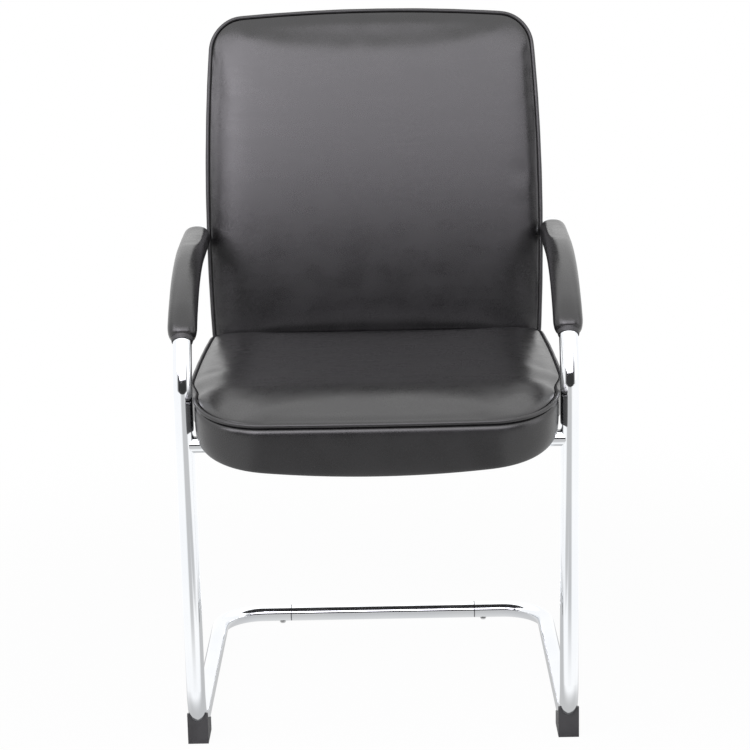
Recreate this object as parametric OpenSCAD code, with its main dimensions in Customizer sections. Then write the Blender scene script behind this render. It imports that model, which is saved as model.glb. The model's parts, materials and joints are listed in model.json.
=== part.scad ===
/* [Steel frame] */
// Distance between the centre lines of the two uprights
frame_w = 504; // [480:2:530]
// Length of the floor runs, from the upright's foot to the centre of the rear cross tube
base_l = 483; // [450:1:520]
// Outside diameter of the frame tube
tube_d = 25; // [24:0.5:26]
// Wall of the frame tube
tube_wall = 1.5; // [1.2:0.1:2]
// Bend radius of the floor corners, at the centre line
floor_bend_r = 65; // [55:1:75]
// Space between the floor and the tube
floor_gap = 5; // [4:0.5:7]
// Forward lean of the uprights, in degrees
upright_lean = 1; // [0.5:0.1:1.5]
// Height of the arm's level run above the seat's piping, at the tube's centre line
arm_h = 144; // [130:1:160]
// Radius of the tight bend at the top of each upright
knee_r = 116; // [105:1:125]
// Slope where the tight bend passes into the wide one, in degrees
knee_slope = 25.7; // [22:0.1:28]
// Radius of the wide bend under the arm pad
arm_bend_r = 430; // [380:5:460]
// Distance from the centre of the chair to each joint in the rear cross tube
joint_x = 144; // [120:1:160]
// Length of the sleeve inside each joint
sleeve_l = 60; // [50:1:80]
// Wall of the joint sleeve
sleeve_wall = 2; // [1.5:0.1:3]
// Distance from the joint to the screw that holds the sleeve
screw_from_joint = 14; // [10:1:20]
// Outside diameter of the seat rail between the uprights
rail_d = 22; // [20:0.5:24]
// Height of the seat's piping above the seat rail's centre line
rail_h = 63.5; // [58:0.5:68]

/* [Glides] */
// Wall of the glides beside the tube
glide_wall = 1.4; // [1.2:0.1:2]
// Height of the front glides
glide_h = 43; // [38:0.5:46]
// Length of the front glides
glide_l = 50; // [44:1:60]
// Diameter of the rear glides, round studs under the floor runs
rear_glide_d = 14; // [12:0.5:16]
// Diameter of their stems, which plug into the tube
rear_stem_d = 6; // [5:0.5:7]

/* [Seat] */
// How much wider the seat is, on each side, behind the uprights than between them
seat_bulge = 12; // [8:0.5:15]
// How much narrower the seat is, on each side, at its rear corners
seat_taper = 7; // [4:0.5:9]
// Depth of the seat along its sides
seat_depth = 498; // [480:1:505]
// How far the seat's front stands ahead of the upright's foot
seat_overhang = 113; // [105:1:120]
// Radius of the seat's front corners
seat_front_r = 98; // [85:1:105]
// Radius of the seat's rear corners
seat_rear_r = 32; // [30:1:36]
// Bow of the seat's front edge
seat_bow = 6; // [3:0.5:9]
// Hollow of the seat's rear edge, where the back swells into it
seat_hollow = 7; // [7:0.5:9]
// Room between the seat's piping and the uprights
seat_side_gap = 0.8; // [0.6:0.1:2]
// Height of the piping round the seat's top
seat_h = 488; // [484:1:494]
// Drop of the piping at the front edge
seat_drop = 14.5; // [12:0.5:17]
// Drop of the lower edge at the front
skirt_drop = 36; // [32:0.5:38]
// Crown of the seat above its piping
seat_crown = 13; // [10:0.5:16]
// Thickness of the moulded boards
board_t = 12; // [10:0.5:13]
// Radius of the seat board's rolled front
roll_r = 170; // [165:1:200]
// Depth of the seat board's rolled front
roll_l = 55; // [45:1:58]

/* [Back] */
// Half of the back's width at its widest place
back_half_w = 247; // [244:0.5:249]
// How far up the back its widest place lies
back_wide_v = 215; // [180:5:255]
// How much narrower the back is, on each side, at its top
back_taper = 12; // [9:0.5:14]
// How much narrower the back is, on each side, at its lower edge
back_low_taper = 6; // [3:0.5:8]
// Length of the back, measured along its curve
back_l = 511; // [495:1:520]
// Thickness of the back at its edge
back_t = 62; // [58:0.5:66]
// Crown of the back in front of its piping
back_crown = 13; // [10:0.5:14]
// How far the back's lower edge lies below the seat's piping
back_low = 36; // [32:0.5:38]
// Lean of the back at its lower edge, in degrees
back_lean = 5; // [4:0.1:6]
// Radius of the back's curve, seen from the side
back_r = 2750; // [2600:10:3000]
// Radius of the back's top corners
back_top_r = 44; // [38:1:50]
// Radius of the back's lower corners
back_low_r = 32; // [30:1:36]
// Fall of the back's top edge towards its corners
back_top_fall = 11; // [8:0.5:12]
// Room between the seat's rear edge and the plane of the back's piping
back_room = 5.5; // [5.5:0.5:8]
// Thickness of the padded panel behind the back
rear_panel_t = 8; // [7:0.5:9]

/* [Upholstery] */
// Thickness of the cover
skin_t = 1.4; // [1:0.1:1.8]
// Diameter of the piping
piping_d = 6; // [5:0.5:7]
// Swell of the seat's side walls
wall_swell = 2.5; // [1:0.5:3]
// Width of the hem turned under the edge
hem_w = 26; // [22:1:27]
// Thickness of the cloth under the seat
felt_t = 1; // [0.8:0.1:1.5]

/* [Arm pads] */
// Width of the arm pads
pad_w = 39; // [37:0.5:42]
// Thickness of the arm pads
pad_t = 35; // [35:0.5:38]
// How much higher the padding's middle lies than the tube's
pad_lift = 1.5; // [0.5:0.5:1.5]
// How far the arm pad's lower end lies below the arm's level run
pad_low = 71; // [64:1:90]
// Distance from the upright's foot to the rear end of the arm pads
pad_rear = 400; // [388:1:402]
// Length of the closing collar at the pad's lower end
collar_l = 6; // [5:0.5:9]

/* [Supports and fasteners] */
// Width of the flat steel support bars
bar_w = 40; // [34:1:50]
// Thickness of the support bars
bar_t = 4; // [4:0.5:5]
// Distance from the centre of the chair to each support bar
bar_x = 120; // [100:1:150]
// Length of the bars' upright legs
bar_leg = 150; // [130:1:180]
// Thread diameter of the bolts
bolt_d = 6; // [5:0.5:6]
// Length of the arms' bolts
arm_bolt_l = 58; // [52:1:64]
// Thickness of the spacer between each arm and the back
spacer_t = 3; // [2.2:0.1:4]
// Gap left between pieces that touch
fit_gap = 0.3; // [0.2:0.05:0.4]

/* [Hidden] */

steel = "gainsboro";
leather = [0.16, 0.16, 0.17];
moulded = [0.12, 0.12, 0.13];
timber = "burlywood";
sponge = "lemonchiffon";
zinc = "silver";
painted = [0.2, 0.2, 0.21];
cloth = [0.22, 0.22, 0.22];

// Fits
weld_gap = 0.05;
saddle_gap = 0.1;
thread_gap = 0.1;
bolt_play = 0.6;
screw_d = 5;
screw_play = 0.5;

// The frame tube
tube_r = tube_d / 2;
bore_r = tube_r - tube_wall;
tube_h = floor_gap + tube_r;
rail_r = rail_d / 2;

// Heights that follow the seat's
arm_z = seat_h + arm_h;
rail_z = seat_h - rail_h;
back_z = seat_h - back_low;

// The back's curve, in the plane of Y from the upright's foot and Z
seat_rear = seat_depth - seat_overhang;
back_face = seat_rear + back_room;
curve_y = back_face + back_r * cos(back_lean);
curve_z = back_z - back_r * sin(back_lean);
function lean_at(v) = back_lean + v / back_r * 180 / PI;

// The chair's depth runs from the seat's front to the top edge of the back's rear panel
panel_inset = 1.5;
depth_ahead = -seat_overhang - wall_swell;
depth_behind = curve_y - (back_r - back_t) * cos(lean_at(back_l - panel_inset));
foot_y = -(depth_ahead + depth_behind) / 2;

// Layers of the back, as distances behind the piping's plane
leg_out = back_t - rear_panel_t - fit_gap;
leg_in = leg_out - bar_t;
back_board_out = leg_in - fit_gap;
back_board_in = back_board_out - board_t;
hem_back = back_board_out + fit_gap + skin_t;
panel_in = hem_back + fit_gap;
board_inset = 8;
block_depth = 24;
block_w = 34;
block_h = 56;
arm_bolt_depth = back_board_in - fit_gap - block_depth / 2;

// Half of the back's width at a place along its curve
back_mid_v = back_l / 2;
function back_half(v) = back_half_w - (v > back_wide_v
    ? back_taper * pow((v - back_wide_v) / (back_l - back_wide_v), 2)
    : back_low_taper * pow((back_wide_v - v) / back_wide_v, 2));

// Turns of the frame tube on its way from the rear joint to the arm's end
base_turn = 90 - upright_lean;
knee_turn = 90 + upright_lean - knee_slope;
knee_rise = knee_r * (cos(knee_slope) - cos(90 + upright_lean));
knee_reach = knee_r * (sin(90 + upright_lean) - sin(knee_slope));
arm_rise = arm_bend_r * (1 - cos(knee_slope));
arm_reach = arm_bend_r * sin(knee_slope);
foot_z = tube_h + floor_bend_r * (1 - sin(upright_lean));
foot_reach = floor_bend_r * cos(upright_lean);
knee_z = arm_z - arm_rise - knee_rise;
upright_l = (knee_z - foot_z) / cos(upright_lean);
upright_shift = upright_l * sin(upright_lean);
arm_bolt_r = back_r - arm_bolt_depth;
arm_tilt = asin((arm_z - curve_z) / arm_bolt_r);
arm_bolt_y = curve_y - arm_bolt_r * cos(arm_tilt);
arm_end_l = 17;
tube_end_y = arm_bolt_y + arm_end_l;
arm_level_l = tube_end_y + upright_shift - knee_reach - arm_reach;
back_side_x = back_half((arm_tilt - back_lean) / 180 * PI * back_r);
arm_axis_x = back_side_x + spacer_t + tube_r;
splay = atan((arm_axis_x - frame_w / 2) / (arm_bolt_y + upright_shift));
stub_l = frame_w / 2 - floor_bend_r - joint_x;
floor_run_l = base_l - floor_bend_r - foot_reach;

// Steps of the tube: [length] is a straight run, [radius, angle, roll] is a bend
tube_steps = [[stub_l], [floor_bend_r, 90, 0], [floor_run_l],
              [floor_bend_r, base_turn, -90], [upright_l],
              [knee_r, knee_turn, -splay], [arm_bend_r, knee_slope, 0], [arm_level_l]];
knee_step = 5;

// Y of the upright's centre line at a height
function upright_y(z) = foot_y - (z - foot_z) * tan(upright_lean);

// Layers under the seat
bar_low = rail_z + rail_r + weld_gap;
felt_low = bar_low + bar_t + weld_gap;
hem_low = felt_low + felt_t + fit_gap;
seat_board_low = hem_low + skin_t + fit_gap;
seat_board_top = seat_board_low + board_t;

module ring_profile(outer, inner) {
    difference() {
        circle(r = outer, $fn = 48);
        if (inner > 0) circle(r = inner, $fn = 48);
    }
}

// Each step of a tube stops a hair short of the next one, and a ring inside the wall joins
// the two, so that rounding between the steps never leaves the tube in pieces
seam_gap = 0.002;
module seam_ring(outer, inner) {
    third = (outer - inner) / 3;
    translate([0, 0, -third])
        linear_extrude(2 * third) ring_profile(outer - third, inner + third);
}

// Draws the steps from the first to the last, each from the end of the one before
module bent_tube(steps, outer, inner = 0, first = 0) {
    if (first < len(steps)) {
        step = steps[first];
        seam = inner > 0 ? seam_gap : 0;
        if (inner > 0 && first > 0) seam_ring(outer, inner);
        if (len(step) == 1) {
            linear_extrude(step[0] - seam) ring_profile(outer, inner);
            translate([0, 0, step[0]]) bent_tube(steps, outer, inner, first + 1);
        } else {
            rotate([0, 0, step[2]]) {
                translate([step[0], 0, 0]) rotate([90, 0, 180])
                    rotate_extrude(angle = step[1] - seam / step[0] * 180 / PI, $fn = 96)
                        translate([step[0], 0]) ring_profile(outer, inner);
                translate([step[0] * (1 - cos(step[1])), 0, step[0] * sin(step[1])])
                    rotate([0, step[1], 0]) bent_tube(steps, outer, inner, first + 1);
            }
        }
    }
}

// Puts its children at the start of the given step, with +Z along the tube
module at_step(steps, target, first = 0) {
    if (first >= target) {
        children();
    } else {
        step = steps[first];
        if (len(step) == 1) {
            translate([0, 0, step[0]]) at_step(steps, target, first + 1) children();
        } else {
            rotate([0, 0, step[2]])
                translate([step[0] * (1 - cos(step[1])), 0, step[0] * sin(step[1])])
                    rotate([0, step[1], 0]) at_step(steps, target, first + 1) children();
        }
    }
}

// The tube starts at the rear joint and heads outwards
module from_joint() {
    translate([joint_x, foot_y + base_l, tube_h])
        rotate([0, 90, 0]) rotate([0, 0, -90]) children();
}

module both_sides() {
    children();
    mirror([1, 0, 0]) children();
}

// Cutters for the arm's bolt and for the screw under each joint
module arm_bolt_hole() {
    translate([0, foot_y + arm_bolt_y, arm_z]) rotate([0, 90, 0])
        cylinder(d = bolt_d + bolt_play, h = 2 * frame_w, $fn = 32);
}

module joint_screw_hole(play) {
    translate([joint_x + screw_from_joint, foot_y + base_l, 0])
        cylinder(d = screw_d + play, h = tube_h, $fn = 32);
}

rear_glide_ahead = 22;
rear_glide_y = base_l - floor_bend_r - rear_glide_ahead;
module at_rear_glide() {
    translate([frame_w / 2, foot_y + rear_glide_y, 0]) children();
}

module side_tube() {
    color(steel) difference() {
        from_joint() bent_tube(tube_steps, tube_r, bore_r);
        arm_bolt_hole();
        joint_screw_hole(screw_play);
        at_rear_glide() cylinder(d = rear_stem_d + screw_play, h = tube_h, $fn = 32);
    }
}

module rear_cross_tube() {
    color(steel) translate([0, foot_y + base_l, tube_h]) rotate([0, 90, 0])
        linear_extrude(2 * joint_x - fit_gap, center = true) ring_profile(tube_r, bore_r);
}

// The sleeve plugs into both tubes, and a screw from below holds it
module joint_sleeve() {
    sleeve_r = bore_r - weld_gap;
    color(zinc) difference() {
        translate([joint_x, foot_y + base_l, tube_h]) rotate([0, 90, 0])
            linear_extrude(sleeve_l, center = true)
                ring_profile(sleeve_r, sleeve_r - sleeve_wall);
        joint_screw_hole(thread_gap);
    }
}

screw_head_d = 10.5;
screw_face_d = 7.4;
screw_head_h = 3.2;
screw_tip = 2;
module joint_screws() {
    color(zinc) both_sides() translate([joint_x + screw_from_joint, foot_y + base_l, 0]) {
        translate([0, 0, floor_gap - screw_head_h])
            cylinder(d1 = screw_face_d, d2 = screw_head_d, h = screw_head_h, $fn = 32);
        translate([0, 0, floor_gap])
            cylinder(d = screw_d, h = tube_wall + sleeve_wall + screw_tip, $fn = 32);
    }
}

// The rail's ends are coped to the uprights and welded
module front_seat_rail() {
    color(steel) difference() {
        translate([0, upright_y(rail_z), rail_z]) rotate([0, 90, 0])
            linear_extrude(frame_w, center = true) ring_profile(rail_r, rail_r - tube_wall);
        both_sides() translate([frame_w / 2, foot_y, foot_z]) rotate([upright_lean, 0, 0])
            cylinder(r = tube_r + weld_gap, h = rail_z + rail_d, $fn = 48);
    }
}

// A saddle under the front bend: a side outline, less the room that the tube takes
glide_w = tube_d + 2 * glide_wall;
glide_front = 6;
glide_ear = 5;
glide_slope = 7;
glide_step = 13;
glide_lip = 1.5;
glide_shoulder = glide_h - glide_step;
glide_tail = tube_h + glide_lip;
module front_glide() {
    outline = [[0, 0], [0, glide_h], [glide_ear, glide_h],
               [glide_ear + glide_slope, glide_shoulder], [glide_l, glide_tail], [glide_l, 0]];
    color(moulded) difference() {
        translate([(frame_w - glide_w) / 2, foot_y + glide_front, 0]) rotate([90, 0, 90])
            linear_extrude(glide_w) polygon(outline);
        from_joint() bent_tube(tube_steps, tube_r + saddle_gap);
    }
}

// The rear glides are studs ahead of the rear bends, hollowed on top to sit on the tube
rear_glide_rim = 2;
rear_stem_l = 4;
module rear_glide() {
    color(moulded) {
        difference() {
            at_rear_glide() cylinder(d = rear_glide_d, h = floor_gap + rear_glide_rim, $fn = 48);
            from_joint() bent_tube(tube_steps, tube_r + saddle_gap);
        }
        at_rear_glide()
            cylinder(d = rear_stem_d, h = floor_gap + tube_wall + rear_stem_l, $fn = 32);
    }
}

plug_head = 3;
plug_depth = 8;
plug_wall = 2;
module arm_plug() {
    color(moulded) from_joint() at_step(tube_steps, len(tube_steps)) difference() {
        union() {
            translate([0, 0, saddle_gap])
                cylinder(r1 = tube_r, r2 = tube_r - plug_wall, h = plug_head, $fn = 48);
            translate([0, 0, -plug_depth])
                cylinder(r = bore_r - saddle_gap, h = plug_depth + plug_wall, $fn = 48);
        }
        translate([0, 0, -plug_depth - 1])
            cylinder(r = bore_r - plug_wall, h = plug_depth + 1, $fn = 48);
    }
}

// A bolt stands on its head's underside, with a socket in the head
bolt_head_d = 11;
bolt_head_h = 3.5;
module bolt(length) {
    difference() {
        union() {
            cylinder(d = bolt_d, h = length, $fn = 32);
            translate([0, 0, -bolt_head_h])
                cylinder(d1 = bolt_head_d - 2, d2 = bolt_head_d, h = bolt_head_h, $fn = 32);
        }
        translate([0, 0, -bolt_head_h - 1])
            cylinder(d = bolt_d / 1.5, h = bolt_head_h / 2 + 1, $fn = 6);
    }
}

module flat_bolt(length, head_d, head_h) {
    difference() {
        union() {
            cylinder(d = bolt_d, h = length, $fn = 32);
            cylinder(d1 = head_d, d2 = bolt_d, h = head_h, $fn = 32);
        }
        translate([0, 0, -1]) cylinder(d = bolt_d / 1.5, h = head_h / 2 + 1, $fn = 6);
    }
}

// A nut with a flange, driven into a board from the padded side
nut_d = 9;
nut_flange_d = 18;
nut_flange_t = 1.4;
module t_nut(length) {
    difference() {
        union() {
            cylinder(d = nut_d, h = length, $fn = 32);
            translate([0, 0, length - nut_flange_t])
                cylinder(d = nut_flange_d, h = nut_flange_t, $fn = 48);
        }
        translate([0, 0, -1]) cylinder(d = bolt_d + thread_gap, h = length + 2, $fn = 32);
    }
}
module t_nut_room(length) {
    translate([0, 0, -board_t]) cylinder(d = nut_d + thread_gap, h = 2 * board_t, $fn = 32);
    translate([0, 0, length - nut_flange_t - thread_gap])
        cylinder(d = nut_flange_d + thread_gap, h = board_t, $fn = 48);
}

// Bolts through the arm tubes into inserts in the back's side blocks
insert_l = 14;
arm_bolt_x = arm_axis_x + tube_r / cos(splay) + bolt_head_d / 2 * tan(splay) + 2 * weld_gap;
insert_x = arm_bolt_x - arm_bolt_l + 2;
spacer_d = 16;
module arm_bolts() {
    color(zinc) both_sides() translate([arm_bolt_x, foot_y + arm_bolt_y, arm_z])
        rotate([0, -90, 0]) bolt(arm_bolt_l);
}

module arm_spacers() {
    color(moulded) both_sides()
        translate([back_side_x + fit_gap / 2, foot_y + arm_bolt_y, arm_z])
            rotate([0, 90, 0]) difference() {
                cylinder(d = spacer_d, h = spacer_t - 1.5 * fit_gap, $fn = 48);
                translate([0, 0, -1])
                    cylinder(d = bolt_d + bolt_play, h = spacer_t + 2, $fn = 32);
            }
}

module arm_insert_nuts() {
    color(zinc) both_sides() translate([insert_x, foot_y + arm_bolt_y, arm_z])
        rotate([0, 90, 0]) difference() {
            cylinder(d = nut_d, h = insert_l, $fn = 32);
            translate([0, 0, -1])
                cylinder(d = bolt_d + thread_gap, h = insert_l + 2, $fn = 32);
        }
}

// Outlines are drawn counterclockwise, from the middle of the lower edge
function arc_points(cx, cy, r, from, steps, sweep = 90) = [for (k = [0 : steps])
    let (a = from + sweep * k / steps) [cx + r * cos(a), cy + r * sin(a)]];
function line_points(p, q, count) = [for (k = [1 : count]) p + (q - p) * k / (count + 1)];
function mirrored(half) = concat(half, [for (k = [len(half) - 2 : -1 : 1])
                                        [-half[k].x, half[k].y]]);
function rounded_half(w, low, high, low_r, high_r) = concat(
    [[0, low]],
    line_points([0, low], [w - low_r, low], 2),
    arc_points(w - low_r, low + low_r, low_r, -90, 5),
    line_points([w, low + low_r], [w, high - high_r], 5),
    arc_points(w - high_r, high - high_r, high_r, 0, 4),
    line_points([w - high_r, high], [0, high], 2),
    [[0, high]]);
function normals_of(outline) = [for (k = [0 : len(outline) - 1])
    let (n = len(outline), d = outline[(k + 1) % n] - outline[(k + n - 1) % n])
    [d.y, -d.x] / norm(d)];
function inset_points(outline, inset) = let (out = normals_of(outline))
    [for (k = [0 : len(outline) - 1]) outline[k] - inset * out[k]];
function ease(t) = let (c = max(0, min(1, t))) c * c * (3 - 2 * c);

// A closed skin over rings of points, with a pole at either end
module skin_over(rings, first_pole, last_pole) {
    n = len(rings[0]);
    last = len(rings) * n + 1;
    points = concat([first_pole], [for (ring = rings) each ring], [last_pole]);
    faces = concat(
        [for (k = [0 : n - 1]) [0, 1 + k, 1 + (k + 1) % n]],
        [for (j = [0 : len(rings) - 2], k = [0 : n - 1])
            let (a = 1 + j * n, b = a + n, m = (k + 1) % n)
            each [[a + k, b + k, b + m], [a + k, b + m, a + m]]],
        [for (k = [0 : n - 1]) [last, last - n + (k + 1) % n, last - n + k]]);
    polyhedron(points = points, faces = faces, convexity = 6);
}

// A closed skin over rings that follow one another round a loop
module skin_round(rings) {
    n = len(rings[0]);
    count = len(rings);
    faces = [for (j = [0 : count - 1], k = [0 : n - 1])
        let (a = j * n, b = (j + 1) % count * n, m = (k + 1) % n)
        each [[a + k, b + k, b + m], [a + k, b + m, a + m]]];
    polyhedron(points = [for (ring = rings) each ring], faces = faces, convexity = 6);
}

function reversed(list) = [for (k = [len(list) - 1 : -1 : 0]) list[k]];

// The seat's outline, with Y from the upright's foot
pipe_r = piping_d / 2;
pipe_in = 1.2;
pipe_out = pipe_r - pipe_in;
groove_in = pipe_in + pipe_r + 0.1;
seat_gap_half = frame_w / 2 - tube_r - pipe_out - seat_side_gap;
seat_half_w = seat_gap_half + seat_bulge;
seat_wide_y = 75;
seat_swell_y = 115;
seat_mid_y = (seat_rear - seat_overhang) / 2;
seat_side_y = -(seat_h - foot_z) * tan(upright_lean);
function seat_half(y) = y > seat_swell_y
    ? seat_half_w - seat_taper * pow((y - seat_swell_y) / (seat_rear - seat_swell_y), 2)
    : seat_half_w - seat_bulge * ease((seat_wide_y - y) / (seat_wide_y - seat_side_y));
function seat_warp(p) = let (across = p.x / seat_half_w, along = p.y < seat_mid_y ? 1 : -1)
    [p.x * seat_half(p.y) / seat_half_w,
     p.y + along * (along > 0 ? seat_bow * pow(across, 2) * ease(-p.y / seat_overhang + 0.5)
                              : seat_hollow * (1 - pow(across, 2))
                                * ease((p.y - seat_mid_y) / (seat_rear - seat_mid_y)))];
seat_outline = [for (p = mirrored(rounded_half(seat_half_w, -seat_overhang, seat_rear,
                                               seat_front_r, seat_rear_r))) seat_warp(p)];

// Heights of the seat's piping and of its lower edge, which falls from the uprights forward
// and rises again towards the front corners
skirt_y = -14;
skirt_rise = 0.33;
front_ease = 0.9;
function seat_top(p) = seat_h - seat_drop * ease(-p.y / seat_overhang * front_ease);
function seat_low(p) = hem_low
    - skirt_drop * sin(90 * max(0, min(1, (skirt_y - p.y) / (skirt_y + seat_overhang))))
    * (1 - skirt_rise * pow(p.x / (seat_half_w - seat_front_r / 2), 2));

// Rows of a padded form, from its hem up: distance inside the outline, scale towards the
// middle, share of the wall's height, lift, share of the swell, and how an inner copy moves
// in and down
function form_rows(crown) = [
    [hem_w, 1, 0, 0, 0, 0, -1], [7, 1, 0, 0, 0, 0.6, -1], [2, 1, 0, 2, 0, 1, -0.7],
    [0.6, 1, 0.2, 0, 0.6, 1, 0], [0, 1, 0.5, 0, 1, 1, 0], [0.4, 1, 0.8, 0, 0.5, 1, 0],
    [0.8, 1, 1, -pipe_r - 0.7, 0, 1, 1], [groove_in, 1, 1, -pipe_r - 0.4, 0, 1, 1],
    [groove_in, 1, 1, pipe_r - 0.8, 0, 1, 1], [groove_in + 2, 0.985, 1, 0.35 * crown, 0, 0.5, 1],
    [groove_in, 0.93, 1, 0.56 * crown, 0, 0, 1], [groove_in, 0.78, 1, 0.82 * crown, 0, 0, 1],
    [groove_in, 0.55, 1, 0.95 * crown, 0, 0, 1]];

// The rows that an inner surface and the padding keep, which show less
inner_rows = [0, 1, 2, 4, 6, 7, 8, 10, 11];
foam_rows = [0, 1, 4, 6, 7, 8, 10, 11];

// The side walls lie flat for this length on either side of the uprights
seat_flat_l = 70;
function seat_swell_share(y) = 1 - ease(1 - abs(y - seat_side_y) / seat_flat_l);
function seat_ring(row, skin) = let (out = normals_of(seat_outline))
    [for (k = [0 : len(seat_outline) - 1])
        let (q = seat_outline[k],
             p = q - out[k] * (row[0] + skin * row[5]
                               - wall_swell * row[4] * seat_swell_share(q.y)),
             x = p.x * row[1], y = seat_mid_y + (p.y - seat_mid_y) * row[1],
             low = seat_low([x, y]), top = seat_top([x, y]))
        [x, foot_y + y, low + (top - low) * row[2] + row[3] - skin * row[6]]];
function seat_pole(skin) = [0, foot_y + seat_mid_y, seat_h + seat_crown - skin];

module seat_cover() {
    rows = form_rows(seat_crown);
    outer = [for (row = rows) seat_ring(row, 0)];
    inner = [for (k = inner_rows) seat_ring(rows[k], skin_t)];
    color(leather) skin_over(concat(reversed(inner), outer), seat_pole(skin_t), seat_pole(0));
}

// The padding lies on the board and wraps round its rolled front
front_padding = 15;
roll_y = -seat_overhang + front_padding + roll_l;
roll_angle = asin(roll_l / roll_r);
module seat_foam() {
    rows = form_rows(seat_crown);
    gap = skin_t + 4 * fit_gap;
    rings = [for (k = foam_rows) seat_ring(rows[k], gap)];
    color(sponge) difference() {
        skin_over(rings, [0, foot_y + seat_mid_y, hem_low + gap], seat_pole(gap));
        translate([-frame_w / 2, foot_y, 0]) rotate([90, 0, 90])
            linear_extrude(frame_w) seat_board_side(fit_gap, roll_r);
    }
}

// The board's side outline: a flat and an arc that rolls down to the front
module seat_board_side(gap, depth) {
    translate([roll_y, seat_board_top - depth]) square([seat_depth, depth + gap]);
    translate([roll_y, seat_board_top - roll_r]) intersection() {
        difference() {
            circle(r = roll_r + gap, $fn = 360);
            if (depth < roll_r) circle(r = roll_r - depth, $fn = 360);
        }
        rotate(90) square([2 * roll_r, 2 * roll_r]);
        rotate(roll_angle) square([2 * roll_r, 2 * roll_r]);
    }
}
module seat_board() {
    color(timber) difference() {
        intersection() {
            translate([-frame_w / 2, foot_y, 0]) rotate([90, 0, 90])
                linear_extrude(frame_w) seat_board_side(0, board_t);
            translate([0, foot_y, 0]) linear_extrude(seat_h)
                polygon(inset_points(seat_outline, board_inset));
        }
        at_seat_bolts(seat_board_low) t_nut_room(board_t);
    }
}

module seat_piping() {
    out = normals_of(seat_outline);
    color(leather) skin_round([for (k = [0 : len(seat_outline) - 1])
        let (p = seat_outline[k] - pipe_in * out[k], z = seat_top(p))
        [for (j = [0 : 5]) let (across = pipe_r * sin(60 * j), up = pipe_r * cos(60 * j))
            [p.x + out[k].x * across, foot_y + p.y + out[k].y * across, z + up]]]);
}

felt_in = 18;
felt_front = skirt_y + felt_in;
module seat_dust_cover() {
    color(cloth) difference() {
        intersection() {
            translate([0, foot_y, felt_low]) linear_extrude(felt_t)
                polygon(inset_points(seat_outline, felt_in));
            translate([-frame_w / 2, foot_y + felt_front, felt_low])
                cube([frame_w, seat_depth, felt_t]);
        }
        at_seat_bolts(felt_low - 1) cylinder(d = nut_d, h = 2 * felt_t + 1, $fn = 32);
    }
}

// Two bolts hold each bar to the seat board
bolt_from_foot = 60;
bolt_from_rear = 90;
seat_bolt_y = [bolt_from_foot, seat_rear - bolt_from_rear];
seat_bolt_l = bar_t + felt_t + board_t;
module at_seat_bolts(z) {
    for (x = [-bar_x, bar_x], y = seat_bolt_y) translate([x, foot_y + y, z]) children();
}
module seat_bolts() {
    color(zinc) at_seat_bolts(bar_low - saddle_gap) bolt(seat_bolt_l);
}
module seat_t_nuts() {
    color(zinc) at_seat_bolts(seat_board_low + saddle_gap) t_nut(board_t - saddle_gap);
}

// A place on the back: across, up along the curve, and ahead of the piping's plane
function back_point(u, v, w) = let (a = lean_at(v))
    [u, foot_y + curve_y - (back_r + w) * cos(a), curve_z + (back_r + w) * sin(a)];
module at_back(u, v, w) {
    translate(back_point(u, v, w)) rotate([90 - lean_at(v), 0, 0]) children();
}

function back_warp(p) = let (along = (p.y - back_mid_v) / back_mid_v)
    [p.x * back_half(p.y) / back_half_w,
     p.y - back_top_fall * pow(p.x / back_half_w, 2) * ease(along)];
back_outline = [for (p = mirrored(rounded_half(back_half_w, 0, back_l, back_low_r, back_top_r)))
                back_warp(p)];

function back_ring(row, skin, depth) = let (out = normals_of(back_outline))
    [for (k = [0 : len(back_outline) - 1])
        let (p = back_outline[k] - out[k] * (row[0] + skin * row[5]),
             v = back_mid_v + (p.y - back_mid_v) * row[1])
        back_point(p.x * row[1], v, -depth * (1 - row[2]) + row[3] - skin * row[6])];
function back_pole(skin) = back_point(0, back_mid_v, back_crown - skin);

module back_cover() {
    rows = form_rows(back_crown);
    outer = [for (row = rows) back_ring(row, 0, hem_back)];
    inner = [for (k = inner_rows) back_ring(rows[k], skin_t, hem_back)];
    color(leather) difference() {
        skin_over(concat(reversed(inner), outer), back_pole(skin_t), back_pole(0));
        both_sides() translate([bar_x, 0, 0]) leg_slot();
        both_sides() arm_bolt_hole();
    }
}

// The padding lies on the front of the board, round the side blocks
module back_foam() {
    rows = form_rows(back_crown);
    gap = skin_t + 2 * fit_gap;
    depth = back_board_in - 3 * fit_gap;
    flat = [for (scale = [0.35, 0.7]) back_ring([groove_in, scale, 0, 0, 0, 0, 0], 0, depth)];
    walls = [back_ring([0.6, 1, 0, 0, 0, 1, 0], gap, depth)];
    rings = [for (k = [6, 7, 8, 10, 11]) back_ring(rows[k], gap, depth)];
    color(sponge) difference() {
        skin_over(concat(flat, walls, rings), back_point(0, back_mid_v, -depth), back_pole(gap));
        both_sides() translate([0, foot_y + arm_bolt_y, arm_z]) side_block_shape(fit_gap);
        both_sides() arm_bolt_hole();
    }
}

module back_piping() {
    out = normals_of(back_outline);
    color(leather) skin_round([for (k = [0 : len(back_outline) - 1])
        let (p = back_outline[k] - pipe_in * out[k])
        [for (j = [0 : 5]) let (across = pipe_r * sin(60 * j), up = pipe_r * cos(60 * j))
            back_point(p.x + out[k].x * across, p.y + out[k].y * across, up)]]);
}

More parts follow.
